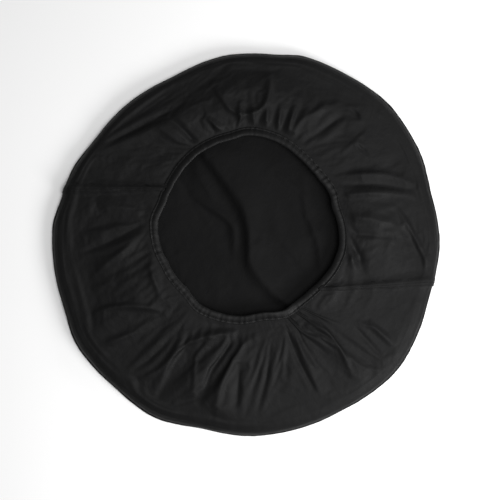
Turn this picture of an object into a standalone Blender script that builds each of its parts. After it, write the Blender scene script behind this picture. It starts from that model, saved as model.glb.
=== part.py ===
"""Spare tyre cover for an RV or caravan, empty and lying flat with its elasticated mouth up.

A round front panel is sewn all round to a back band made of two lengths of coated fabric. The
band's inner edge is bound in a casing tape, and the elastic inside the tape gathers it into the
mouth that goes behind the tyre. Metres, +Z up. The origin is the centre of the front panel's
outer face, which lies on the floor.
"""

import math

import bpy

# Driving dimensions
PANEL_RADIUS = 0.345            # a 27 inch tyre has a radius of 0.343
MOUTH_RADIUS = 0.161            # to the inside of the casing tape, with the elastic relaxed
MOUTH_SHIFT = 0.030             # the slack lies so that the mouth is this far off centre
MOUTH_HEIGHT = 0.027
CREST_HEIGHT = 0.054
CREST_SHARE = 0.42              # where the band is highest, as a share of the way to the mouth
CASING_SHARE = 0.93             # from here to its inner edge the band lies flat in the casing
FABRIC = 0.0012
SEAM_ALLOWANCE = 0.010
JOIN_RIGHT = math.radians(-11)  # the two lengths of the band meet along these directions
JOIN_LEFT = math.radians(163)
CASING_WIDTH = 0.016
TAPE = 0.0010
CASING_ROOM = 0.0044            # height inside the casing tape
BAND_TUCK = 0.0052              # the band's inner edge reaches this far into the casing
ELASTIC_WIDTH = 0.0060
ELASTIC_THICKNESS = 0.0010
ELASTIC_LAP = 0.020             # the elastic's ends overlap by this much
CLIMB_START = math.radians(270)  # from here the elastic's end rises to lie on its start
CLIMB_TURN = math.radians(72)
THREAD = 0.0006
THREAD_CORNER = 0.0006          # how tightly the thread bends round the elastic's corners
STITCH_INSET = 0.0035           # from a stitched edge to its row of thread
JOIN_END_SHARE = 0.90           # the rows along a join stop just short of the casing
GAP = 0.0003                    # kept between pieces that touch

# Worked out from them
CASING_BEND = CASING_ROOM / 2 + TAPE
BAND_END_RADIUS = MOUTH_RADIUS + CASING_WIDTH - BAND_TUCK
ELASTIC_RADIUS = MOUTH_RADIUS + CASING_BEND + ELASTIC_WIDTH / 2
SEAM_HEIGHT = FABRIC + GAP      # the band's turned-in edge rests on the front panel
THREAD_LIFT = GAP + THREAD / 2  # from a surface to the middle of the thread on it

# Fineness
TURN_STEPS = 72
SHOULDER_STEPS = 7
SLOPE_STEPS = 5
BEND_STEPS = 5
CORNER_STEPS = 3
THREAD_SIDES = 6
PANEL_RING = 0.5                # the front panel's inner ring, as a share of its radius
SLOPE_REACH = 0.01              # the band's slope is taken over this share to each side
SHARP = math.radians(40)

COLOURS = {
    "coated_fabric": ((0.030, 0.030, 0.032), 0.55),
    "casing_tape": ((0.022, 0.022, 0.024), 0.75),
    "elastic": ((0.035, 0.035, 0.036), 0.85),
    "thread": ((0.018, 0.018, 0.019), 0.60),
}


def clear_scene():
    for old in list(bpy.data.objects):
        bpy.data.objects.remove(old)


def material(name):
    """The named Principled material, made the first time it is asked for."""
    made = bpy.data.materials.get(name)
    if made:
        return made
    made = bpy.data.materials.new(name)
    made.use_nodes = True
    colour, roughness = COLOURS[name]
    shader = made.node_tree.nodes["Principled BSDF"]
    shader.inputs["Base Color"].default_value = (*colour, 1)
    shader.inputs["Roughness"].default_value = roughness
    shader.inputs["Metallic"].default_value = 0
    return made


def link(name, data, parent=None):
    made = bpy.data.objects.new(name, data)
    made.parent = parent
    bpy.context.scene.collection.objects.link(made)
    return made


def add_mesh(name, points, faces, finish, parent=None):
    mesh = bpy.data.meshes.new(name)
    mesh.from_pydata(points, [], faces)
    mesh.materials.append(material(finish))
    mesh.shade_smooth()
    mesh.set_sharp_from_angle(angle=SHARP)
    return link(name, mesh, parent)


def grid_faces(rows, columns, rows_close=False, columns_close=False):
    """Quads between the points of a grid that is stored row by row."""
    last_row = rows if rows_close else rows - 1
    last_column = columns if columns_close else columns - 1
    return [
        (
            r * columns + c,
            ((r + 1) % rows) * columns + c,
            ((r + 1) % rows) * columns + (c + 1) % columns,
            r * columns + (c + 1) % columns,
        )
        for r in range(last_row)
        for c in range(last_column)
    ]


def turned_ring(name, profile, finish, parent=None):
    """A closed (radius, height) outline, listed anticlockwise, turned right round +Z."""
    turns = [2 * math.pi * i / TURN_STEPS for i in range(TURN_STEPS)]
    points = [(r * math.cos(a), r * math.sin(a), z) for a in turns for r, z in profile]
    faces = grid_faces(TURN_STEPS, len(profile), True, True)
    return add_mesh(name, points, faces, finish, parent)


def arc(centre, radius, start, end, steps):
    """Points of an arc, as (radius, height) pairs, with angles in degrees."""
    angles = [math.radians(start + (end - start) * i / steps) for i in range(steps + 1)]
    return [(centre[0] + radius * math.cos(a), centre[1] + radius * math.sin(a)) for a in angles]


def band_height(share):
    """Height of the band's outer side at a share of the way from the edge seam to the casing."""
    if share < CREST_SHARE:
        outward = 1 - share / CREST_SHARE
        return SEAM_HEIGHT + (CREST_HEIGHT - SEAM_HEIGHT) * math.sqrt(1 - outward**2)
    end = MOUTH_HEIGHT + FABRIC / 2
    inward = min(1, (share - CREST_SHARE) / (CASING_SHARE - CREST_SHARE))
    return end + (CREST_HEIGHT - end) * (1 + math.cos(math.pi * inward)) / 2


def band_shares():
    """The shares at which the band's rings lie: close together at the steep edge."""
    shoulder = [
        CREST_SHARE * (1 - math.cos(math.pi / 2 * i / SHOULDER_STEPS))
        for i in range(SHOULDER_STEPS)
    ]
    slope_step = (CASING_SHARE - CREST_SHARE) / SLOPE_STEPS
    slope = [CREST_SHARE + slope_step * i for i in range(SLOPE_STEPS + 1)]
    return [*shoulder, *slope, 1.0]


def band_point(share, angle, lift=0.0):
    """A point on the band's outer side, or lift above it along its own slope's normal."""
    radius = PANEL_RADIUS + (BAND_END_RADIUS - PANEL_RADIUS) * share
    height = band_height(share)
    if lift:
        before, after = max(0, share - SLOPE_REACH), min(1, share + SLOPE_REACH)
        run = (PANEL_RADIUS - BAND_END_RADIUS) * (after - before)
        climb = band_height(after) - band_height(before)
        length = math.hypot(run, climb)
        radius += lift * climb / length
        height += lift * run / length
    return (
        radius * math.cos(angle),
        radius * math.sin(angle) + MOUTH_SHIFT * share,
        height,
    )


def front_panel():
    """The round face, a flat disc as thick as the fabric."""
    rim = [2 * math.pi * i / TURN_STEPS for i in range(TURN_STEPS)]
    radii = (PANEL_RADIUS, PANEL_RADIUS * PANEL_RING)
    bottom = [(r * math.cos(a), r * math.sin(a), 0) for r in radii for a in rim] + [(0, 0, 0)]
    top = [(x, y, FABRIC) for x, y, _ in bottom]
    n, centre = TURN_STEPS, len(bottom)
    faces = []
    for i in range(n):
        j = (i + 1) % n
        faces.append((j, i, n + i, n + j))
        faces.append((n + j, n + i, 2 * n))
        faces.append((centre + i, centre + j, centre + n + j, centre + n + i))
        faces.append((centre + n + i, centre + n + j, centre + 2 * n))
        faces.append((i, j, centre + j, centre + i))
    return add_mesh("front_panel", bottom + top, faces, "coated_fabric")


def back_band(name, start, end):
    """One length of the band: a sheet from its turned-in edge, over the crest, to the casing."""
    steps = round(TURN_STEPS * (end - start) / (2 * math.pi))
    edge_gap = GAP / 2 / BAND_END_RADIUS
    first, last = start + edge_gap, end - edge_gap
    points = []
    for i in range(steps + 1):
        angle = first + (last - first) * i / steps
        turned_in = PANEL_RADIUS - SEAM_ALLOWANCE
        points.append((turned_in * math.cos(angle), turned_in * math.sin(angle), SEAM_HEIGHT))
        points += [band_point(share, angle) for share in band_shares()]
    faces = grid_faces(steps + 1, len(band_shares()) + 1)
    band = add_mesh(name, points, faces, "coated_fabric")
    cloth = band.modifiers.new("cloth", "SOLIDIFY")
    cloth.thickness = FABRIC
    cloth.offset = -1
    cloth.use_even_offset = True
    return band


def hem_centre():
    """The empty that the mouth's pieces hang on, which rises along +Z as the mouth is lifted."""
    made = link("hem_centre", None)
    made.location = (0, MOUTH_SHIFT, MOUTH_HEIGHT)
    return made


def hem_casing(hem):
    """Tape folded round the elastic and the band's inner edge, open on its outer side."""
    bend = (MOUTH_RADIUS + CASING_BEND, 0)
    end = MOUTH_RADIUS + CASING_WIDTH
    profile = [
        (end, CASING_BEND),
        *arc(bend, CASING_BEND, 90, 270, BEND_STEPS),
        (end, -CASING_BEND),
        (end, -CASING_ROOM / 2),
        *arc(bend, CASING_ROOM / 2, 270, 90, BEND_STEPS),
        (end, CASING_ROOM / 2),
    ]
    return turned_ring("hem_casing", profile, "casing_tape", hem)


def hem_elastic(hem):
    """A flat elastic whose end rides up over its start, where the two are sewn together."""
    lap = ELASTIC_LAP / ELASTIC_RADIUS
    level = (ELASTIC_THICKNESS + GAP) / 2
    points = []
    for i in range(TURN_STEPS + 1):
        turn = (2 * math.pi + lap) * i / TURN_STEPS
        climb = min(1, max(0, (turn - CLIMB_START) / CLIMB_TURN))
        middle = -level + 2 * level * climb
        for side, top in ((-1, -1), (1, -1), (1, 1), (-1, 1)):
            radius = ELASTIC_RADIUS + side * ELASTIC_WIDTH / 2
            height = middle + top * ELASTIC_THICKNESS / 2
            points.append((radius * math.cos(turn), radius * math.sin(turn), height))
    end = 4 * TURN_STEPS
    faces = grid_faces(TURN_STEPS + 1, 4, columns_close=True)
    faces += [(0, 1, 2, 3), (end + 3, end + 2, end + 1, end)]
    return add_mesh("hem_elastic", points, faces, "elastic", hem)


def thread(name, points, closed=False, parent=None):
    """A round thread along a line of points."""
    curve = bpy.data.curves.new(name, "CURVE")
    curve.dimensions = "3D"
    curve.bevel_depth = THREAD / 2
    curve.bevel_resolution = 1
    curve.use_fill_caps = True
    line = curve.splines.new("POLY")
    line.points.add(len(points) - 1)
    for spot, place in zip(line.points, points):
        spot.co = (*place, 1)
    line.use_cyclic_u = closed
    curve.materials.append(material("thread"))
    return link(name, curve, parent)


def elastic_tack(hem):
    """The thread that holds the elastic's overlapping ends, a loop round both of them."""
    reach = ELASTIC_WIDTH / 2 + THREAD_LIFT - THREAD_CORNER
    height = ELASTIC_THICKNESS + GAP / 2 + THREAD_LIFT - THREAD_CORNER
    middle = ELASTIC_LAP / ELASTIC_RADIUS / 2
    loop = []
    for sign_r, sign_z, start in ((1, 1, 0), (-1, 1, 90), (-1, -1, 180), (1, -1, 270)):
        centre = (ELASTIC_RADIUS + sign_r * reach, sign_z * height)
        loop += arc(centre, THREAD_CORNER, start, start + 90, CORNER_STEPS)
    points = [(r * math.cos(middle), r * math.sin(middle), z) for r, z in loop]
    return thread("elastic_tack", points, True, hem)


def thread_ring(name, radius, height, parent=None):
    """A row of stitching that goes right round, as its one long thread."""
    section = arc((radius, height), THREAD / 2, 0, 360 - 360 / THREAD_SIDES, THREAD_SIDES - 1)
    return turned_ring(name, section, "thread", parent)


def join_rows(side, join):
    """The two rows that hold a join, one on each length of the band."""
    shares = [share for share in band_shares() if 0 < share < JOIN_END_SHARE]
    for row, sign in (("upper", 1), ("lower", -1)):
        points = []
        for share in shares:
            radius = PANEL_RADIUS + (BAND_END_RADIUS - PANEL_RADIUS) * share
            angle = join + sign * STITCH_INSET / radius
            points.append(band_point(share, angle, THREAD_LIFT))
        thread(f"join_stitching_{side}_{row}", points)


clear_scene()
front_panel()
back_band("back_band_top", JOIN_RIGHT, JOIN_LEFT)
back_band("back_band_bottom", JOIN_LEFT, JOIN_RIGHT + 2 * math.pi)
thread_ring(
    "edge_seam_stitching",
    PANEL_RADIUS - SEAM_ALLOWANCE + STITCH_INSET,
    SEAM_HEIGHT + FABRIC + THREAD_LIFT,
)
join_rows("right", JOIN_RIGHT)
join_rows("left", JOIN_LEFT)

mouth = hem_centre()
hem_casing(mouth)
hem_elastic(mouth)
elastic_tack(mouth)
thread_ring(
    "casing_stitching",
    MOUTH_RADIUS + CASING_WIDTH - STITCH_INSET,
    CASING_BEND + THREAD_LIFT,
    mouth,
)
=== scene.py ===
"""The looks of a spare tyre cover that lies empty on the floor with its elasticated mouth up.

The front panel and the band are cloth. Each starts with its main folds, which are listed below,
and a short simulation then settles it: the band hangs between the edge seam and the hem, cut wider
than the hem it is gathered to, and the panel lies on the floor. The band is then cut into its two
lengths, which lap at their joins. Tape, elastic and stitches follow the line of the mouth.

Metres, +Z up. Folds and outlines are listed in millimetres and degrees.
"""

import math

import bpy
import numpy as np
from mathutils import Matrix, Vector, noise


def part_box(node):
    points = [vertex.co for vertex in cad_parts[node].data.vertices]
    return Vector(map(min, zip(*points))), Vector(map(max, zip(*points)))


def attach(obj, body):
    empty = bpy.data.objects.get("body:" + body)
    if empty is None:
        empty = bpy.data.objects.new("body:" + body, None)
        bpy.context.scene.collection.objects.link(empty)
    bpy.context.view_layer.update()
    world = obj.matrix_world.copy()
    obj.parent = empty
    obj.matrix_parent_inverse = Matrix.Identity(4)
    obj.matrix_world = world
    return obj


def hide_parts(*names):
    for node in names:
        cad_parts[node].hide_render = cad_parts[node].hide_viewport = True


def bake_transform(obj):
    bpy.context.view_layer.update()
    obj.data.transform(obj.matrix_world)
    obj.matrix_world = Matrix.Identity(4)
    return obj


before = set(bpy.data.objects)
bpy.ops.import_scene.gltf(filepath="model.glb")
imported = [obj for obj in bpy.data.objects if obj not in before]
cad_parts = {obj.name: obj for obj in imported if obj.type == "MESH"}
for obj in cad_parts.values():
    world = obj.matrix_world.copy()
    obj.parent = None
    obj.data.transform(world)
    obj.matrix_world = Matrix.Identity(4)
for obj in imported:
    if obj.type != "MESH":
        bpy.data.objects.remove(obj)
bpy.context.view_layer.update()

MM = 0.001

# From the frame
RIM_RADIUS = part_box("front_panel")[1].x
CASING_LOW, CASING_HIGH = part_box("hem_casing")
CASING_WIDTH = 16 * MM
MOUTH_CENTRE = (CASING_LOW + CASING_HIGH) / 2
MOUTH_RADIUS = (CASING_HIGH.x - CASING_LOW.x) / 2 - CASING_WIDTH

# Cloth
CLOTH = 0.9 * MM
TAPE = 0.6 * MM
SEAM_LEVEL = 1.4 * MM           # where the band's edge lies on the panel's
SEAM_ALLOWANCE = 10 * MM
LAP_LIFT = CLOTH + 0.3 * MM     # how far one length of the band stands off the other under it
BAND_CUT = 200 * MM             # the band's mean width before it was sewn
BAND_EASE = 1.05                # how much wider it was cut than the puffed-up ring needs
HEM_CUT_RADIUS = 198 * MM       # the hem's cut length, as the radius of a full turn
PANEL_EASE = 1.012              # how much wider the panel's cloth is than the ring it lies in
BAND_SINK = 14 * MM             # how far the band can sink as it settles
EDGE_SINK = 4 * MM              # and by its edge
BAND_FLOOR = 14.6 * MM          # and the lowest that its outer side lies away from the edge
JOIN_RIGHT, JOIN_LEFT = -11, 163  # the directions of the band's joins at the edge, in degrees
RUMPLE = 0.5 * MM               # the height of the creases that cloth has all over
CREASES_PER_METRE = 38
JOIN_RISE = 2.4 * MM            # the cloth rises gently to a join and drops beyond its lap
JOIN_SLOPE, JOIN_DROP = 25 * MM, 3 * MM
LAP = 10 * MM                   # the upper length of the band covers this much of the lower
STITCH_LINE = 12.5 * MM         # the row on the casing, from the mouth's inner edge
BAND_TUCK = 10.8 * MM           # the band's inner edge, from the mouth's inner edge

# Fineness
COLUMNS = 420
BAND_ROWS = 52
PANEL_RINGS = 70

# The band's section before it settles: millimetres in from the edge seam, and height
BAND_SECTION = [
    (0, 1.4), (0.5, 8), (2, 15), (5, 20.5), (10, 25), (18, 28.5), (32, 32), (55, 35),
    (85, 37), (115, 36), (142, 32), (168, 27),
]

# The outline's departure from a circle: degrees, millimetres
OUTLINE = [
    (0, 2), (18, -2), (26, 6), (45, 13), (60, 8), (75, 7), (79, -1), (97, -5), (114, -18),
    (130, -15), (146, -15), (157, -5), (168, -4), (172, 4), (200, 2), (210, 10), (228, 4),
    (242, 8), (256, -5), (270, 0), (300, -1), (320, 8), (344, -4),
]
# The mouth's inner edge, likewise, and how far the tape's outer edge is tilted up, in degrees
MOUTH_LINE = [
    (0, 3), (13, -5), (22, -1), (29, -5), (40, -8), (54, -6), (67, -1), (80, 2), (90, 3),
    (99, -3), (122, -5), (139, -9), (149, -11), (165, -11), (175, -3), (194, -5), (205, -9),
    (212, -8), (227, -10), (239, 0), (252, -1), (266, -2), (274, -5), (281, -7), (293, 2),
    (305, -3), (318, -2), (334, 5), (347, 8),
]
MOUTH_TILT = [
    (0, 14), (20, 10), (30, 4), (50, 0), (68, 0), (80, -6), (110, -12), (150, -12), (168, -4),
    (180, 8), (195, 13), (230, 13), (240, 4), (258, -2), (272, -10), (288, -16), (298, -4),
    (306, 14), (320, 16), (340, 16),
]
MOUTH_WAVE = [
    (0, 0), (30, 1.5), (60, 0.5), (100, -0.5), (140, -1), (165, 0.5), (200, 1.5), (240, 0.5),
    (262, -1), (285, 1), (305, -1.5), (330, -0.5),
]

# How far the hem has slewed round from the edge, in degrees, near a direction and to each side
SLEWS = [(JOIN_RIGHT, -28, 48), (JOIN_LEFT, -8, 40)]

# Folds: height and the widths to the left and right of its line, then the line's points
BAND_FOLD_SCALE = 1.3
BAND_FOLDS = [
    (-9, 14, 14, [(-275, 163), (-175, 219), (-100, 258)]),
    (-6, 9, 9, [(-151, 234), (-114, 206), (-78, 164)]),
    (5, 6, 6, [(-72, 228), (-36, 192)]),
    (6, 7, 7, [(-60, 291), (-38, 250), (-12, 231), (20, 236), (38, 262), (42, 303)]),
    (5, 6, 6, [(-12, 249), (-12, 195)]),
    (5, 6, 6, [(12, 245), (12, 199)]),
    (5, 6, 6, [(38, 247), (34, 197)]),
    (5, 6, 6, [(60, 246), (55, 194)]),
    (5, 6, 6, [(84, 240), (72, 190)]),
    (5, 12, 12, [(73, 190), (105, 226), (151, 249)]),
    (-6, 12, 12, [(112, 186), (145, 212), (180, 232)]),
    (-6, 20, 20, [(194, 229), (198, 233)]),
    (-5, 18, 18, [(204, 168), (208, 172)]),
    (5, 9, 9, [(170, 122), (250, 124), (308, 104)]),
    (5, 8, 8, [(170, 86), (235, 92), (300, 88)]),
    (-4, 8, 8, [(165, 104), (235, 107), (290, 98)]),
    (5, 13, 13, [(168, 50), (225, 44), (278, 32)]),
    (-4, 8, 8, [(180, 19), (225, 16), (266, 13)]),
    (6, 9, 9, [(266, 68), (300, 18), (330, -47)]),
    (5, 7, 7, [(172, 5), (182, -14), (192, -41)]),
    (-4, 7, 7, [(185, 2), (202, -20), (206, -44)]),
    (-7, 9, 9, [(70, -150), (88, -202), (127, -271)]),
    (6, 9, 9, [(76, -144), (135, -150), (170, -192), (188, -234)]),
    (-5, 9, 9, [(194, -144), (236, -196), (266, -228)]),
    (4, 9, 9, [(214, -132), (256, -178)]),
    (6, 8, 8, [(12, -168), (-12, -186), (-45, -252), (-54, -319)]),
    (-7, 26, 26, [(-10, -205), (-14, -250), (-20, -300)]),
    (-5, 9, 9, [(42, -174), (36, -240), (21, -295)]),
    (6, 10, 10, [(-48, -160), (-88, -200), (-93, -283)]),
    (-6, 10, 10, [(-14, -160), (-60, -222), (-76, -270)]),
    (8, 12, 12, [(-6, -152), (-102, -174), (-163, -228), (-205, -246)]),
    (-6, 12, 12, [(-120, -150), (-160, -196), (-205, -226)]),
    (6, 11, 11, [(-284, -130), (-235, -112), (-175, -113), (-140, -128)]),
    (4, 12, 12, [(-253, -180), (-193, -156)]),
    (4, 9, 9, [(-157, 19), (-168, -40), (-151, -101)]),
    (5, 14, 14, [(-190, 12), (-272, -53)]),
    (-6, 12, 12, [(-180, 40), (-250, 2), (-302, -17)]),
    (3, 16, 16, [(-175, 60), (-250, 66), (-310, 60)]),
    (3, 14, 14, [(-170, -60), (-240, -72), (-310, -80)]),
]
PANEL_FOLDS = [
    (6, 80, 90, [(-80, 180), (-60, 140), (-38, 100), (-8, 60), (4, 10), (20, -50), (50, -100)]),
    (14, 40, 12, [(-190, 270), (-114, 206), (-69, 152), (-38, 113), (-8, 66), (3, 28), (4, -6),
                  (8, -36), (36, -76), (90, -118), (160, -150)]),
    (6, 9, 7, [(-96, 90), (-82, 77), (-56, 62), (-27, 38), (-22, 5), (-26, -30)]),
    (3, 5, 5, [(-92, 132), (-84, 121), (-58, 85)]),
    (5, 7, 7, [(100, 130), (105, 100), (107, 59), (118, 33), (131, -8), (133, -60)]),
    (2.5, 5, 5, [(50, 132), (63, 118), (102, 88)]),
    (3, 12, 12, [(-70, -105), (-56, -91), (-17, -67)]),
    (3, 14, 14, [(30, 20), (80, 5), (130, 20)]),
    (4, 16, 16, [(-250, -60), (-170, -40), (-110, 10)]),
    (4, 14, 14, [(-60, -300), (-40, -210), (-70, -150)]),
    (4, 16, 16, [(210, -160), (170, -60), (220, 30)]),
    (4, 16, 16, [(60, 290), (90, 220), (190, 170)]),
]


def smooth(x):
    """From 0 to 1 as x does, level at both ends."""
    x = np.clip(x, 0, 1)
    return x * x * (3 - 2 * x)


def around(table, degrees):
    """A value listed by angle: straight stretches with their corners a little rounded."""
    angles, values = np.array(table, float).T
    angles = np.concatenate([angles - 360, angles, angles + 360])
    values = np.tile(values, 3)
    turned = np.mod(degrees, 360)
    return sum(np.interp(turned + step, angles, values) for step in (-2.5, 0, 2.5)) / 3


def spline(points, places, closed=False):
    """Rows of points read at fractional row numbers, along a Catmull-Rom spline."""
    count = len(points)
    first = np.floor(places).astype(int)
    if not closed:
        first = np.clip(first, 0, count - 2)
    t = (places - first).reshape(-1, *[1] * (points.ndim - 1))

    def at(row):
        return points[row % count] if closed else points[np.clip(row, 0, count - 1)]

    a, b, c, d = (at(first + step) for step in (-1, 0, 1, 2))
    return b + t / 2 * (c - a + t * (2 * a - 5 * b + 4 * c - d + t * (3 * (b - c) + d - a)))


def fold_heights(x, y, folds):
    """The folds' heights at places in plan: a rounded ridge or furrow along each line."""
    total = np.zeros_like(x)
    for height, left, right, corners in folds:
        corners = np.array(corners, float) * MM
        line = spline(corners, np.linspace(0, len(corners) - 1, 6 * len(corners)))
        steps = np.hypot(*(line[1:] - line[:-1]).T)
        run = np.concatenate([[0], np.cumsum(steps)]) / steps.sum()
        nearest = np.full(x.shape, np.inf)
        along = np.zeros_like(x)
        side = np.zeros_like(x)
        for i, (start, end) in enumerate(zip(line, line[1:])):
            (ax, ay), (dx, dy) = start, end - start
            t = np.clip(((x - ax) * dx + (y - ay) * dy) / (dx * dx + dy * dy), 0, 1)
            gap = np.hypot(x - ax - t * dx, y - ay - t * dy)
            closer = gap < nearest
            nearest = np.where(closer, gap, nearest)
            along = np.where(closer, run[i] + t * (run[i + 1] - run[i]), along)
            side = np.where(closer, dx * (y - ay) - dy * (x - ax), side)
        taper = np.sqrt(np.sin(math.pi * np.clip(along, 0.04, 0.96)))
        width = np.where(side > 0, left, right) * MM
        total += height * MM * taper * np.exp(-1.5 * (np.hypot(nearest / width, 0.3) - 0.3))
    return total


def ripples(angles, low, high, count, seed):
    """Uneven waves round the ring: some have more turns than others, and all drift in phase."""
    draw = np.random.default_rng(seed)
    total = np.zeros_like(angles)
    for _ in range(count):
        turns, drift = int(draw.integers(low, high)), int(draw.integers(2, 6))
        phase, swing = draw.uniform(0, 2 * math.pi, 2)
        strength = draw.uniform(0.4, 1) * (0.6 + 0.4 * np.sin(drift * angles + phase))
        total += strength * np.sin(turns * angles + phase + 2 * np.sin(drift * angles + swing))
    return total


# --- The lines that everything follows ---


def rim_point(degrees, inset=0.0, height=0.0):
    """A point on the edge seam, or set in from it."""
    radius = RIM_RADIUS + around(OUTLINE, degrees) * MM - inset
    angle = np.radians(degrees)
    return np.stack([radius * np.cos(angle), radius * np.sin(angle), height + 0 * radius], -1)


def hem_point(degrees, reach, rise=0.0):
    """A point by the hem: reach from the mouth's inner edge outward, and rise above its middle."""
    angle = np.radians(degrees)
    tilt = np.radians(around(MOUTH_TILT, degrees))
    flat = np.stack([np.cos(angle), np.sin(angle), 0 * angle], -1)
    up = np.array([0, 0, 1.0])
    cos, sin = np.cos(tilt)[..., None], np.sin(tilt)[..., None]
    out, over = flat * cos + up * sin, up * cos - flat * sin
    radius = MOUTH_RADIUS + around(MOUTH_LINE, degrees) * MM
    wave = around(MOUTH_WAVE, degrees) * MM - np.sin(tilt) * CASING_WIDTH / 2
    edge = np.array(MOUTH_CENTRE) + flat * radius[..., None] + up * wave[..., None]
    reach, rise = np.broadcast_to(reach, angle.shape), np.broadcast_to(rise, angle.shape)
    return edge + out * reach[..., None] + over * rise[..., None]


def slew(degrees):
    """How far the hem has turned from the edge, in degrees."""
    total = 0.0 * degrees
    for towards, turn, width in SLEWS:
        away = (degrees - towards + 180) % 360 - 180
        total += turn * np.exp(-((away / width) ** 2))
    return total


# --- Meshes ---


def add_object(name, points, faces, maps=None, finishes=()):
    mesh = bpy.data.meshes.new(name)
    mesh.from_pydata(np.asarray(points).reshape(-1, 3).tolist(), [], faces)
    if maps is not None:
        layer = mesh.uv_layers.new(name="cut")
        corners = np.zeros(len(mesh.loops), int)
        mesh.loops.foreach_get("vertex_index", corners)
        layer.data.foreach_set("uv", np.asarray(maps, float).reshape(-1, 2)[corners].ravel())
    for finish in finishes:
        mesh.materials.append(finish)
    mesh.shade_smooth()
    made = bpy.data.objects.new(name, mesh)
    bpy.context.scene.collection.objects.link(made)
    return made


def grid_faces(rows, columns, columns_close=False):
    """Quads between the points of a grid that is stored row by row."""
    last_column = columns if columns_close else columns - 1
    return [
        (
            r * columns + c,
            r * columns + (c + 1) % columns,
            (r + 1) * columns + (c + 1) % columns,
            (r + 1) * columns + c,
        )
        for r in range(rows - 1)
        for c in range(last_column)
    ]


def apply_modifiers(piece):
    view = bpy.context.evaluated_depsgraph_get()
    done = bpy.data.meshes.new_from_object(piece.evaluated_get(view))
    piece.modifiers.clear()
    piece.data = done
    return piece


def rumple(points):
    """Uneven small creases all over the cloth, from about -1 to 1."""
    flat = [noise.fractal(Vector(p) * CREASES_PER_METRE, 0.9, 2.1, 4) for p in points.reshape(-1, 3)]
    return np.array(flat).reshape(points.shape[:-1])


def thicken(piece, thickness, inner_finish=0):
    """Gives a sheet its thickness, away from its face side, and its other side its own finish."""
    cloth = piece.modifiers.new("cloth", "SOLIDIFY")
    cloth.thickness = thickness
    cloth.offset = -1
    cloth.use_even_offset = True
    cloth.thickness_clamp = 1
    cloth.material_offset = inner_finish
    return apply_modifiers(piece)


def side_normals(grid):
    """The unit normals of a grid's points, on the side that its rows and columns turn towards."""
    along = np.gradient(grid, axis=1)
    across = np.gradient(grid, axis=0)
    normals = np.cross(along, across)
    return normals / np.maximum(np.linalg.norm(normals, axis=-1, keepdims=True), 1e-12)


# --- Simulation ---


def settle(points, faces, cut, pinned, below, frames, weight, stiffness):
    """Cloth of the cut's size, starting from points, after it has settled over what is below.

    The weight is a share of gravity's pull. What is below is removed afterwards.
    """
    cloth = add_object("settling", points, faces)
    cloth.shape_key_add(name="start")
    key = cloth.shape_key_add(name="cut")
    key.data.foreach_set("co", np.asarray(cut, np.float32).ravel())
    key.value = 0
    cloth.vertex_groups.new(name="pinned").add([int(i) for i in pinned], 1, "REPLACE")
    below.modifiers.new("collision", "COLLISION")
    below.collision.thickness_outer = 1 * MM
    below.collision.cloth_friction = 8
    modifier = cloth.modifiers.new("cloth", "CLOTH")
    settings = modifier.settings
    settings.quality = 6
    settings.mass = 0.00004
    settings.tension_stiffness = 12
    settings.compression_stiffness = 12
    settings.shear_stiffness = 2
    settings.bending_stiffness = stiffness
    settings.shear_damping = 2
    settings.vertex_group_mass = "pinned"
    settings.rest_shape_key = key
    settings.effector_weights.gravity = weight
    modifier.collision_settings.distance_min = 1 * MM
    modifier.collision_settings.use_self_collision = True
    modifier.collision_settings.self_distance_min = 1.2 * MM
    modifier.collision_settings.collision_quality = 3
    modifier.point_cache.frame_end = frames
    scene = bpy.context.scene
    scene.gravity = (0, 0, -9.81)
    for number in range(1, frames + 1):
        scene.frame_set(number)
    settled = cloth.evaluated_get(bpy.context.evaluated_depsgraph_get()).to_mesh()
    result = np.zeros(len(settled.vertices) * 3, np.float32)
    settled.vertices.foreach_get("co", result)
    bpy.data.objects.remove(cloth)
    bpy.data.objects.remove(below)
    scene.frame_set(1)
    return result.astype(float).reshape(np.shape(points))


# --- The band ---


def band_section(degrees, share):
    """The band as a smooth puffed-up ring, at shares of its width from the edge to the hem."""
    inward, height = np.array(BAND_SECTION).T
    run = np.concatenate([[0], np.cumsum(np.hypot(np.diff(inward), np.diff(height)))])
    across = np.interp(share, run / run[-1], inward / inward[-1])[:, None]
    level = np.interp(share, run / run[-1], height)[:, None] * MM
    stitched = hem_point(degrees + slew(degrees), CASING_WIDTH - 1.1 * MM, CLOTH / 2)
    grid = rim_point(degrees) * (1 - across[..., None]) + stitched * across[..., None]
    grid[..., 2] = level + (stitched[:, 2] - height[-1] * MM) * across**2
    return grid


def band_start():
    """The band before it settles, with its folds."""
    degrees = np.arange(COLUMNS) * 360 / COLUMNS
    share = np.linspace(0, 1, BAND_ROWS - 1)
    grid = band_section(degrees, share)
    angle = np.radians(degrees)
    waves = 0.5 * MM * ripples(angle, 24, 90, 9, 11) + 1.2 * MM * ripples(angle, 4, 14, 5, 2)
    folds = BAND_FOLD_SCALE * fold_heights(grid[..., 0], grid[..., 1], BAND_FOLDS)
    share = share[:, None]
    grid[..., 2] += (waves * share + folds) * np.clip(8 * share, 0, 1) * np.clip(10 - 10 * share, 0, 1)
    tucked = hem_point(degrees + slew(degrees), BAND_TUCK, CLOTH / 2)
    return np.concatenate([grid, tucked[None]])


def shelf():
    """What the band settles on: the smooth ring, lowered."""
    degrees = np.arange(120) * 3.0
    share = np.linspace(0, 0.93, 30)[:, None]
    grid = band_section(degrees, share[:, 0])
    sink = EDGE_SINK + (BAND_SINK - EDGE_SINK) * smooth((share - 0.1) / 0.25)
    grid[..., 2] = np.maximum(grid[..., 2] - sink, 0)
    outside = rim_point(degrees, -50 * MM)
    grid = np.concatenate([outside[None], grid])
    return add_object("shelf", grid, grid_faces(*grid.shape[:2], columns_close=True))


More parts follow.
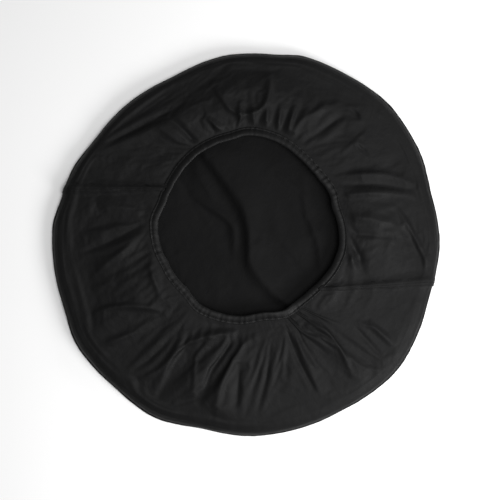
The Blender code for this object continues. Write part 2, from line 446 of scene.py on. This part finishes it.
def band_cut():
    """The band as it was cut, rolled into a cone: wider round its hem than the finished mouth."""
    angle = np.arange(COLUMNS) * 2 * math.pi / COLUMNS
    smooth_ring = band_section(np.degrees(angle), np.linspace(0, 1, BAND_ROWS - 1))
    width = BAND_EASE * np.linalg.norm(np.diff(smooth_ring, axis=0), axis=-1).sum(0)
    share = np.linspace(0, 1, BAND_ROWS)[:, None]
    radius = RIM_RADIUS + (HEM_CUT_RADIUS - RIM_RADIUS) * share + 0 * angle
    height = share * np.sqrt(width**2 - (RIM_RADIUS - HEM_CUT_RADIUS) ** 2)
    return np.stack([radius * np.cos(angle), radius * np.sin(angle), height], -1)


def settled_band():
    """The band's outer side as one closed ring of rows from the edge seam to the hem."""
    start = band_start()
    faces = grid_faces(BAND_ROWS, COLUMNS, columns_close=True)
    pinned = [*range(COLUMNS), *range((BAND_ROWS - 2) * COLUMNS, BAND_ROWS * COLUMNS)]
    return settle(start, faces, band_cut(), pinned, shelf(), frames=30, weight=0.3, stiffness=0.01)


def band_rows():
    """Row numbers to read the band at: close together in its wall, which unfolds."""
    wall = np.array([0, 0.2, 0.45, 0.7, 0.95, 1.2, 1.5, 1.8, 2.15, 2.5, 3, 3.5, 4.2, 5])
    rest = np.arange(5.75, BAND_ROWS - 1, 0.75)
    return np.concatenate([wall, rest, [BAND_ROWS - 1]])


def join_height(arc):
    """How high the cloth stands by a join: arc is above the join, or if negative below it."""
    above = 1 - smooth(arc / JOIN_SLOPE)
    below = 1 - smooth((-LAP - arc) / JOIN_DROP)
    return JOIN_RISE * np.where(arc > 0, above, below)


def band_length(name, ring, start, end, laps, finishes):
    """One length of the band between two joins, or past them by its laps, turned in at the edge."""
    lap = math.degrees(LAP / RIM_RADIUS) if laps else 0
    steps = int((end - start + 2 * lap) * 540 / 360)
    degrees = np.linspace(start - lap, end + lap, steps)
    if laps:
        close = np.linspace(-lap, lap, 13)
        inside = degrees[(degrees > start + lap) & (degrees < end - lap)]
        degrees = np.concatenate([start + close, inside, end + close])
    rows = spline(ring, band_rows())
    grid = spline(rows.transpose(1, 0, 2), degrees * COLUMNS / 360, True).transpose(1, 0, 2)
    low = np.hypot(grid[..., 0], grid[..., 1]) < RIM_RADIUS - 30 * MM
    grid[..., 2] = np.where(low, np.maximum(grid[..., 2], BAND_FLOOR), grid[..., 2])
    near = np.radians(np.minimum(degrees - start, end - degrees)) * RIM_RADIUS
    raised = join_height(near if laps else -near)
    if laps:
        raised += LAP_LIFT * (1 - smooth((near - 1 * MM) / LAP))
    above_seam = np.clip((np.arange(len(grid)) - 3) / 8, 0, 1)[:, None]
    grid += side_normals(grid) * (above_seam * (raised + RUMPLE * rumple(grid)))[..., None]
    turned_in = [
        rim_point(degrees, inset, SEAM_LEVEL) for inset in (SEAM_ALLOWANCE, 5 * MM, 1 * MM)
    ]
    grid = np.concatenate([turned_in, grid])
    across = np.arange(len(grid))[:, None] * BAND_CUT / len(grid)
    round_it = np.radians(degrees) * RIM_RADIUS
    maps = np.stack(np.broadcast_arrays(round_it, across), -1)
    piece = add_object(name, grid, grid_faces(*grid.shape[:2]), maps, finishes)
    return thicken(piece, CLOTH, 1)


# --- The front panel ---


def disc(rings):
    """Points and triangles of a disc: six more points in each ring than in the last."""
    points = [(0.0, 0.0)]
    starts = [0]
    for ring in range(1, rings + 1):
        starts.append(len(points))
        for i in range(6 * ring):
            angle = math.pi * i / (3 * ring)
            points.append((ring / rings * math.cos(angle), ring / rings * math.sin(angle)))
    faces = []
    for ring in range(1, rings + 1):
        inner, outer = max(1, 6 * (ring - 1)), 6 * ring
        for sixth in range(6):
            for i in range(ring):
                a = starts[ring] + (sixth * ring + i) % outer
                b = starts[ring] + (sixth * ring + i + 1) % outer
                c = starts[ring - 1] + (sixth * (ring - 1) + i) % inner
                faces.append((b, a, c))
                if i < ring - 1:
                    d = starts[ring - 1] + (sixth * (ring - 1) + i + 1) % inner
                    faces.append((b, c, d))
    return np.array(points), faces


def panel_cloth(finishes):
    """The front panel, face down on the floor, with the creases that run through it."""
    flat, faces = disc(PANEL_RINGS)
    share = np.hypot(*flat.T)
    degrees = np.degrees(np.arctan2(flat[:, 1], flat[:, 0]))
    start = rim_point(degrees) * share[:, None]
    hold = np.clip((1 - share) * 12, 0, 1)
    start[:, 2] = fold_heights(start[:, 0], start[:, 1], PANEL_FOLDS) * hold
    points = start
    cut = rim_point(degrees) * share[:, None] * PANEL_EASE
    pinned = np.nonzero(share > 0.999)[0]
    corners = [(x, y, -1 * MM) for x, y in ((-1, -1), (1, -1), (1, 1), (-1, 1))]
    ground = add_object("ground", corners, [(0, 1, 2, 3)])
    points = settle(start, faces, cut, pinned, ground, frames=12, weight=0.3, stiffness=0.05)
    points[:, 2] += RUMPLE * rumple(points) * hold
    points[:, 2] = np.maximum(points[:, 2], 0)
    piece = add_object("front_panel_cloth", points, faces, points[:, :2], finishes)
    return thicken(piece, CLOTH, 1)


# --- The hem ---

# The tape's outer skin from its top lip in to the bend: reach and rise
CASING_SKIN = [
    (16, 1.35), (15, 1.45), (14, 1.4), (13.2, 1.3), (12.5, 1.1), (11.8, 1.3), (10.8, 1.65),
    (9.4, 2.05), (7.6, 2.3), (5.8, 2.4), (4, 2.3), (2.4, 2.0), (1.1, 1.5), (0.3, 0.85), (0, 0),
]


def casing_ripple(degrees, reach):
    """How the gathered tape puckers, as a height, at a reach from the mouth's edge."""
    angle = np.radians(degrees)
    fine = ripples(angle, 70, 150, 7, 5)
    broad = ripples(angle, 22, 50, 4, 8)
    by_stitches = smooth(1 - abs(reach - STITCH_LINE) / (5 * MM))
    return (0.16 * fine * (0.5 + by_stitches) + 0.22 * broad) * MM


def casing_surface(degrees, reach, rise, top=1):
    """A point of the tape's skin with its puckers."""
    swell = casing_ripple(degrees, reach) * top * smooth(reach / (3 * MM))
    tuck = casing_ripple(degrees + 1.3, 0 * reach) * smooth(1 - reach / (6 * MM))
    return hem_point(degrees, reach + tuck, rise + swell)


def hem_tape(finish):
    degrees = np.arange(760) * 360 / 760
    upper = [(u * MM, w * MM, 1) for u, w in CASING_SKIN]
    lower = [(u * MM, -w * MM, -1) for u, w in CASING_SKIN[-2::-1]]
    grid = [casing_surface(degrees, np.full_like(degrees, u), w, top) for u, w, top in upper + lower]
    grid = np.array(grid)
    across = np.arange(len(grid))[:, None] * 1.7 * MM
    maps = np.stack(np.broadcast_arrays(np.radians(degrees) * MOUTH_RADIUS, across), -1)
    faces = grid_faces(len(grid), len(degrees), columns_close=True)
    piece = add_object("hem_casing_tape", grid, faces, maps, [finish])
    return thicken(piece, TAPE)


def hem_elastic(finish):
    """A flat elastic whose end rides up over its start."""
    reach, half_width, half = 6.2 * MM, 3 * MM, 0.5 * MM
    lap = 7
    columns = 500
    degrees = (360 + lap) * np.arange(columns + 1) / columns
    level = 0.65 * MM * (2 * smooth((degrees - 275) / 75) - 1)
    section = [(-1, -0.4), (-0.8, -1), (0.8, -1), (1, -0.4), (1, 0.4), (0.8, 1), (-0.8, 1), (-1, 0.4)]
    grid = np.array(
        [[hem_point(d, reach + u * half_width, z + w * half) for u, w in section]
         for d, z in zip(degrees, level)]
    )
    count = len(section)
    faces = grid_faces(columns + 1, count, columns_close=True)
    faces += [tuple(range(count))[::-1], tuple(range(columns * count, (columns + 1) * count))]
    round_it = np.radians(degrees)[:, None] * MOUTH_RADIUS
    across = np.array([u for u, _ in section])[None] * half_width
    maps = np.stack(np.broadcast_arrays(round_it, across), -1)
    return add_object("hem_elastic_band", grid, faces, maps, [finish])


def thread_pieces(name, starts, ends, normals, finish, radius=0.28 * MM):
    """Stitches, each a short rounded thread that rises from the cloth and sinks back into it."""
    shape = [(0, -0.5, 0.35), (0.12, 0.45, 0.9), (0.5, 0.8, 1), (0.88, 0.45, 0.9), (1, -0.5, 0.35)]
    sides = 6
    points, faces = [], []
    for start, end, normal in zip(starts, ends, normals):
        across = np.cross(end - start, normal)
        across /= np.linalg.norm(across)
        first = len(points)
        for share, rise, fatness in shape:
            middle = start + (end - start) * share + normal * rise * radius
            for k in range(sides):
                turn = 2 * math.pi * k / sides
                away = across * math.cos(turn) + normal * math.sin(turn)
                points.append(middle + away * radius * fatness)
        faces += [
            tuple(first + i for i in face)
            for face in grid_faces(len(shape), sides, columns_close=True)
        ]
        last = first + (len(shape) - 1) * sides
        faces += [tuple(range(first, first + sides))[::-1], tuple(range(last, last + sides))]
    return add_object(name, points, faces, None, [finish])


def stitch_line(name, line, normals, finish, pitch=3.4 * MM):
    """Stitches along a line of points, a pitch apart, with short gaps between them."""
    steps = np.linalg.norm(line[1:] - line[:-1], axis=1)
    run = np.concatenate([[0], np.cumsum(steps)])
    marks = np.arange(0, run[-1] - pitch, pitch)
    places = np.interp(marks, run, np.arange(len(run)))
    ends = np.interp(marks + 0.78 * pitch, run, np.arange(len(run)))
    return thread_pieces(name, spline(line, places), spline(line, ends), spline(normals, places), finish)


def casing_stitches(finish):
    degrees = np.linspace(0, 360, 1441)
    reach = np.full_like(degrees, STITCH_LINE)
    line = casing_surface(degrees, reach, 1.2 * MM)
    above = casing_surface(degrees, reach, 2.2 * MM)
    return stitch_line("casing_stitches", line, (above - line) / MM, finish)


def edge_stitches(finish):
    """The row through both seam allowances, inside the cover."""
    degrees = np.linspace(0, 360, 1441)
    line = rim_point(degrees, SEAM_ALLOWANCE - 3.5 * MM, SEAM_LEVEL + CLOTH + 0.15 * MM)
    normals = np.zeros_like(line) + (0, 0, 1)
    return stitch_line("edge_seam_stitches", line, normals, finish, 4 * MM)


def join_stitches(ring, join, side, finish):
    """Two rows along a join: one by the lap's edge and one a foot's width from it."""
    made = []
    rows = spline(ring, np.linspace(2.2, BAND_ROWS - 2.6, 160))
    columns = rows.transpose(1, 0, 2)
    sign = -1 if side == "right" else 1
    for row, inset in (("upper", 2.2 * MM), ("lower", 7.5 * MM)):
        away = math.degrees(inset / RIM_RADIUS) * sign
        near = (join + away + np.array([-0.4, 0, 0.4])) * COLUMNS / 360
        strip = spline(columns, near, True).transpose(1, 0, 2)
        normals = side_normals(strip)[:, 1]
        line = strip[:, 1] + normals * (JOIN_RISE + LAP_LIFT + 0.1 * MM)
        made.append(stitch_line(f"join_stitches_{side}_{row}", line, normals, finish))
    return made


def elastic_tack(finish):
    """Zigzag stitches through the elastic's lapped ends."""
    marks = np.linspace(1.6, 5.4, 8)
    reach = 6.2 * MM + np.where(np.arange(8) % 2, 2, -2) * MM
    line = hem_point(marks, reach, 1.25 * MM)
    up = hem_point(marks, reach, 2.25 * MM) - line
    return thread_pieces("elastic_tack_stitches", line[:-1], line[1:], up[:-1] / MM, finish)


# --- Finishes ---


class Finish:
    """A Principled material and short calls for its nodes."""

    def __init__(self, name, roughness, specular):
        self.material = bpy.data.materials.new(name)
        self.material.use_nodes = True
        self.tree = self.material.node_tree
        self.shader = self.tree.nodes["Principled BSDF"]
        self.set("Roughness", roughness)
        self.set("Specular IOR Level", specular)
        self.place = self.tree.nodes.new("ShaderNodeTexCoord").outputs["Object"]

    def set(self, socket, value):
        self.shader.inputs[socket].default_value = value

    def link(self, source, target):
        self.tree.links.new(source, target)

    def noise(self, scale, detail=2, distortion=0.0):
        node = self.tree.nodes.new("ShaderNodeTexNoise")
        node.inputs["Scale"].default_value = scale
        node.inputs["Detail"].default_value = detail
        node.inputs["Distortion"].default_value = distortion
        self.link(self.place, node.inputs["Vector"])
        return node.outputs["Fac"]

    def ramp(self, value, stops):
        node = self.tree.nodes.new("ShaderNodeValToRGB")
        places = node.color_ramp.elements
        for (place, colour), stop in zip(stops, (places[0], places[1])):
            stop.position = place
            stop.color = (*colour, 1)
        self.link(value, node.inputs["Fac"])
        return node.outputs["Color"]

    def math(self, kind, a, b):
        node = self.tree.nodes.new("ShaderNodeMath")
        node.operation = kind
        for socket, value in zip(node.inputs, (a, b)):
            if isinstance(value, (int, float)):
                socket.default_value = value
            else:
                self.link(value, socket)
        return node.outputs[0]

    def threads(self, across, down):
        """Crossing threads on the cloth's own cut, that many to the metre each way.

        Each wave is two threads, one over and one under. The node draws 20 radians of waves to
        the metre at a scale of 1.
        """
        node = self.tree.nodes.new("ShaderNodeUVMap")
        node.uv_map = "cut"
        waves = []
        for direction, count in (("X", across), ("Y", down)):
            wave = self.tree.nodes.new("ShaderNodeTexWave")
            wave.bands_direction = direction
            wave.inputs["Scale"].default_value = count / 2 * 2 * math.pi / 20
            wave.inputs["Distortion"].default_value = 0.6
            self.link(node.outputs["UV"], wave.inputs["Vector"])
            waves.append(wave.outputs["Fac"])
        return self.math("MULTIPLY", *waves)

    def bump(self, height, distance, strength=1.0):
        node = self.tree.nodes.new("ShaderNodeBump")
        node.inputs["Distance"].default_value = distance
        node.inputs["Strength"].default_value = strength
        self.link(height, node.inputs["Height"])
        normal = self.shader.inputs["Normal"]
        if normal.links:
            self.link(normal.links[0].from_socket, node.inputs["Normal"])
        self.link(node.outputs["Normal"], normal)

    def colour(self, value, dark, light):
        self.link(self.ramp(value, [(0.3, dark), (0.7, light)]), self.shader.inputs["Base Color"])

    def vary_roughness(self, value, low, high):
        spread = self.math("MULTIPLY", value, high - low)
        self.link(self.math("ADD", spread, low), self.shader.inputs["Roughness"])


def coated_cloth():
    """Black cloth with a thin soft coating: a fine grain, small creases and a low gloss."""
    f = Finish("coated_cloth", 0.6, 0.12)
    f.colour(f.noise(7, 4), (0.0032, 0.0032, 0.0033), (0.0048, 0.0048, 0.0049))
    f.vary_roughness(f.noise(22, 3), 0.5, 0.68)
    f.bump(f.noise(34, 4, 0.8), 1.6 * MM, 0.6)
    f.bump(f.noise(140, 3, 0.4), 0.5 * MM, 0.6)
    f.bump(f.noise(1500, 2), 0.05 * MM, 0.6)
    f.bump(f.threads(1400, 1400), 0.04 * MM, 0.5)
    return f.material


def cloth_back():
    """The uncoated inner side of the same cloth: the weave shows, and it is more matte."""
    f = Finish("cloth_back", 0.7, 0.1)
    f.colour(f.noise(9, 4), (0.0022, 0.0022, 0.0023), (0.0034, 0.0034, 0.0035))
    f.bump(f.noise(40, 4, 0.8), 1.4 * MM, 0.6)
    f.bump(f.noise(160, 3, 0.4), 0.4 * MM, 0.6)
    f.bump(f.noise(900, 2), 0.08 * MM, 0.6)
    f.bump(f.threads(1200, 1200), 0.08 * MM, 0.7)
    return f.material


def woven_tape():
    f = Finish("woven_tape", 0.45, 0.15)
    f.colour(f.noise(60, 3), (0.0020, 0.0020, 0.0021), (0.0032, 0.0032, 0.0033))
    f.vary_roughness(f.noise(90, 2), 0.4, 0.52)
    f.bump(f.noise(260, 3, 0.5), 0.2 * MM, 0.5)
    f.bump(f.threads(1100, 1500), 0.08 * MM, 0.7)
    return f.material


def braided_elastic():
    f = Finish("braided_elastic", 0.75, 0.15)
    f.colour(f.noise(400, 2), (0.007, 0.007, 0.0073), (0.012, 0.012, 0.0124))
    f.bump(f.threads(700, 1500), 0.25 * MM, 0.9)
    return f.material


def sewing_thread():
    f = Finish("sewing_thread", 0.6, 0.1)
    f.colour(f.noise(700, 2), (0.0026, 0.0026, 0.0027), (0.0045, 0.0045, 0.0047))
    f.bump(f.noise(2600, 1, 1.5), 0.06 * MM, 0.8)
    return f.material


# --- Stage ---


def floor():
    grid = [[(x, y, -0.4 * MM) for x in (-6, 6)] for y in (-6, 6)]
    made = add_object("floor", grid, [(0, 1, 3, 2)])
    f = Finish("pale_floor", 0.9, 0.1)
    f.colour(f.noise(2, 2), (0.90, 0.90, 0.90), (0.92, 0.92, 0.92))
    made.data.materials.append(f.material)


def area_light(name, place, size, power, target=(0, 0, 0)):
    light = bpy.data.lights.new(name, "AREA")
    light.shape = "DISK"
    light.size = size
    light.energy = power
    made = bpy.data.objects.new(name, light)
    made.location = place
    made.rotation_euler = (Vector(target) - Vector(place)).to_track_quat("-Z", "Y").to_euler()
    bpy.context.scene.collection.objects.link(made)


def lights():
    world = bpy.data.worlds.new("studio")
    bpy.context.scene.world = world
    world.use_nodes = True
    background = world.node_tree.nodes["Background"]
    background.inputs["Color"].default_value = (1, 1, 1, 1)
    background.inputs["Strength"].default_value = 0.3
    area_light("key", (1.0, -0.75, 0.8), 0.7, 20)
    area_light("top", (0.7, -0.3, 2.6), 1.4, 37)
    area_light("fill", (0.9, 0.9, 0.6), 0.4, 4)


def camera():
    """Looks straight down, a little beside the cover's centre, at a square 0.906 m across."""
    distance = 2.4
    across = 0.906
    lens = bpy.data.cameras.new("camera")
    lens.sensor_width = 36
    lens.lens = lens.sensor_width * distance / across
    made = bpy.data.objects.new("camera", lens)
    made.location = (0.0063, -0.0109, distance)
    bpy.context.scene.collection.objects.link(made)
    bpy.context.scene.camera = made


# --- Putting it together ---


def bend(piece, nodes):
    """Bakes the piece's placing into its mesh and hides the parts that it stands for."""
    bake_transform(piece)
    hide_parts(*nodes)


def stand_for(piece, body, nodes):
    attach(piece, body)
    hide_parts(*nodes)


outer, inner = coated_cloth(), cloth_back()
tape, elastic, thread = woven_tape(), braided_elastic(), sewing_thread()

ring = settled_band()
sides = [outer, inner]
top = band_length("band_cloth_top", ring, JOIN_RIGHT, JOIN_LEFT, True, sides)
bottom = band_length("band_cloth_bottom", ring, JOIN_LEFT, JOIN_RIGHT + 360, False, sides)
bend(top, ["back_band_top"])
bend(bottom, ["back_band_bottom"])
for side, join in (("right", JOIN_RIGHT), ("left", JOIN_LEFT)):
    for row in join_stitches(ring, join, side, thread):
        level = row.name.rsplit("_", 1)[1]
        bend(row, [f"join_stitching_{side}_{level}"])

panel = panel_cloth([outer, inner])
stand_for(panel, "cover", ["front_panel"])
stand_for(edge_stitches(thread), "cover", ["edge_seam_stitching"])

stand_for(hem_tape(tape), "hem", ["hem_casing"])
stand_for(hem_elastic(elastic), "hem", ["hem_elastic"])
stand_for(elastic_tack(thread), "hem", ["elastic_tack"])
stand_for(casing_stitches(thread), "hem", ["casing_stitching"])

floor()
lights()
camera()
bpy.context.scene.view_settings.view_transform = "Standard"
